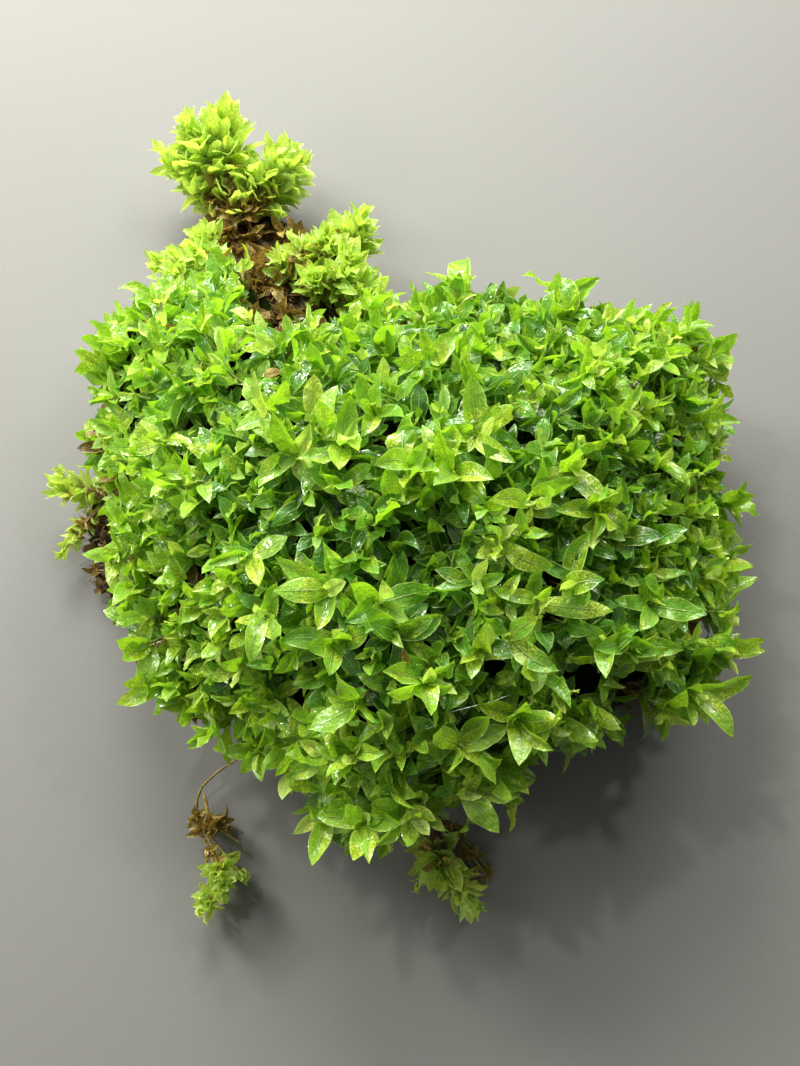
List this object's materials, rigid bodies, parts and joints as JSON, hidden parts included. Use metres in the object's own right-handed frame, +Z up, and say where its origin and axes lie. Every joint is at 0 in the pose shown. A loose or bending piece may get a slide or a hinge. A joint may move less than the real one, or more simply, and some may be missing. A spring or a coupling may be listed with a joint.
{
  "type": "moss clump",
  "caption": "Small heart-shaped cushion of wet leafy moss on a flat-bottomed mat of soil, with loose tufts and sprigs around it.",
  "frame": {"origin": "on the flat underside of the soil mat, under the middle of the cushion", "axes": "+Z up out of the cushion; +Y towards the back, where the tall tuft leans out; +X to the right"},
  "size_m": [0.0416, 0.05, 0.0156],
  "materials": {
    "wet_soil": "matte damp soil bound by brown rhizoids",
    "moss_leaves": "satin, wet, thin leaves that let light through, mid green",
    "young_moss_leaves": "satin, wet, thin leaves that let light through, yellow-green",
    "old_moss_leaves": "matte, brown withered leaves and stems"
  },
  "bodies": {
    "root": {"soil_mat": "wet_soil", "moss_cushion": "moss_leaves", "back_left_tuft": "young_moss_leaves", "back_tuft": "young_moss_leaves", "left_sprig": "young_moss_leaves", "front_left_sprig": "young_moss_leaves", "front_sprig": "young_moss_leaves"}
  },
  "joints": []
}
